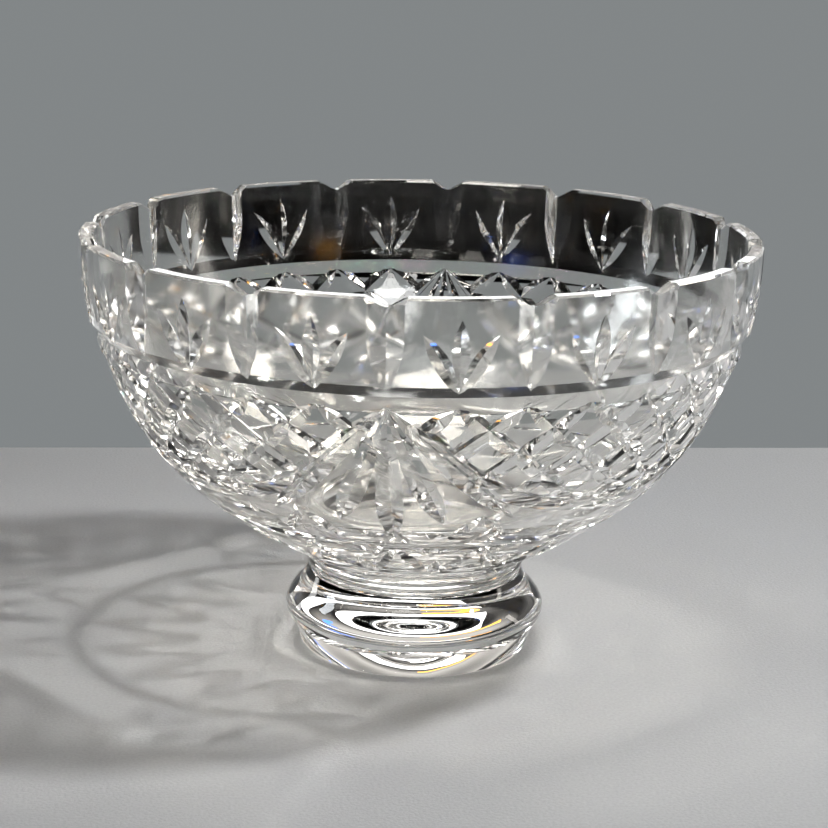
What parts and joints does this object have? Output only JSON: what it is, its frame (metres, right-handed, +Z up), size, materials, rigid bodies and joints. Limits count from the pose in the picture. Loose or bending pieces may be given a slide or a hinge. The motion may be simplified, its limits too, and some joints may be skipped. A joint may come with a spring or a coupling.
{
  "type": "footed punch bowl",
  "caption": "Wide footed punch bowl of heavy cut crystal with a notched rim, leaf sprigs, fans, swags and a diamond field.",
  "frame": {"origin": "middle of the flat ring under the foot, where the bowl stands", "axes": "+Z up along the bowl's axis; a rim notch and the middle of a cut fan face -Y, and the cutting repeats every 90 degrees"},
  "size_m": [0.2994, 0.2994, 0.191],
  "materials": {
    "bowl_crystal": "clear lead crystal, acid-polished cuts",
    "collar_crystal": "clear lead crystal, fire-polished",
    "foot_crystal": "clear lead crystal, fire-polished"
  },
  "bodies": {
    "root": {"bowl": "bowl_crystal", "collar": "collar_crystal", "foot": "foot_crystal"}
  },
  "joints": []
}
